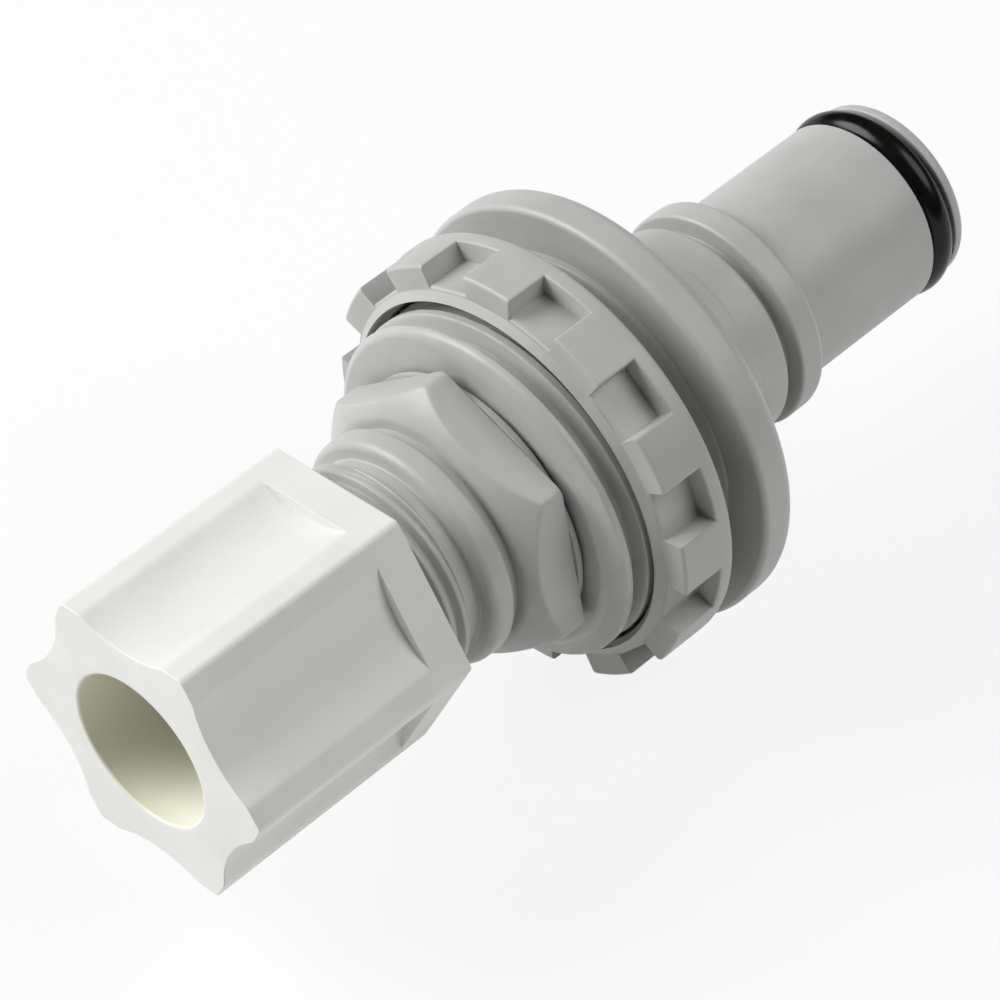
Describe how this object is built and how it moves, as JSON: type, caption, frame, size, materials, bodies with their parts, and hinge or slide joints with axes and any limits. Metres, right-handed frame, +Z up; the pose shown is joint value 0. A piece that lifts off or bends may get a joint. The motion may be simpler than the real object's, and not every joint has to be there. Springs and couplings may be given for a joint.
{
  "type": "through-panel tube fitting",
  "caption": "Through-panel quick-disconnect insert with an O-ring plug, a panel flange with a notched ring nut, and a hexagonal compression nut for half-inch tube.",
  "frame": {"origin": "on the fitting's axis, in the plane where the flange meets the panel", "axes": "+X along the axis towards the plug nose, +Z up, the tube nut towards -X"},
  "size_m": [0.0824, 0.037, 0.037],
  "materials": {
    "grey_plastic": "satin moulded polypropylene",
    "panel_nut_plastic": "satin moulded polypropylene",
    "connector_plastic": "satin moulded polypropylene",
    "white_plastic": "satin moulded plastic",
    "ivory_plastic": "satin moulded plastic",
    "black_rubber": "glossy moulded rubber",
    "spring_steel": "drawn stainless wire"
  },
  "bodies": {
    "fitting": {"insert_body": "grey_plastic", "nose_o_ring": "black_rubber", "connector_body": "connector_plastic", "connector_seal": "black_rubber", "tube_ferrule": "ivory_plastic", "spring_retainer": "ivory_plastic", "valve_spring": "spring_steel"},
    "panel_nut": {"panel_nut": "panel_nut_plastic"},
    "gripper": {"gripper_ring": "ivory_plastic"},
    "tube_nut": {"compression_nut": "white_plastic"},
    "poppet": {"valve_poppet": "grey_plastic", "poppet_seal": "black_rubber"}
  },
  "joints": [
    {"name": "panel_nut_travel", "type": "slide", "parent": "fitting", "child": "panel_nut", "axis": [1, 0, 0], "range_m": [-0.0065, 0.003]},
    {"name": "tube_nut_travel", "type": "slide", "parent": "fitting", "child": "gripper", "axis": [1, 0, 0], "range_m": [-0.0051, 0.0016]},
    {"name": "tube_nut_turn", "type": "hinge", "parent": "gripper", "child": "tube_nut", "pos_m": [-0.036, 0, 0], "axis": [1, 0, 0], "range_deg": [-1440, 450]},
    {"name": "poppet_travel", "type": "slide", "parent": "fitting", "child": "poppet", "axis": [-1, 0, 0], "range_m": [0, 0.004], "stiffness_N_per_m": 800, "springref_m": -0.004, "deforming": ["valve_spring"]}
  ],
  "couplings": [
    {"joint": "tube_nut_travel", "follows": "tube_nut_turn", "m_per_rad": 0.00020213}
  ]
}
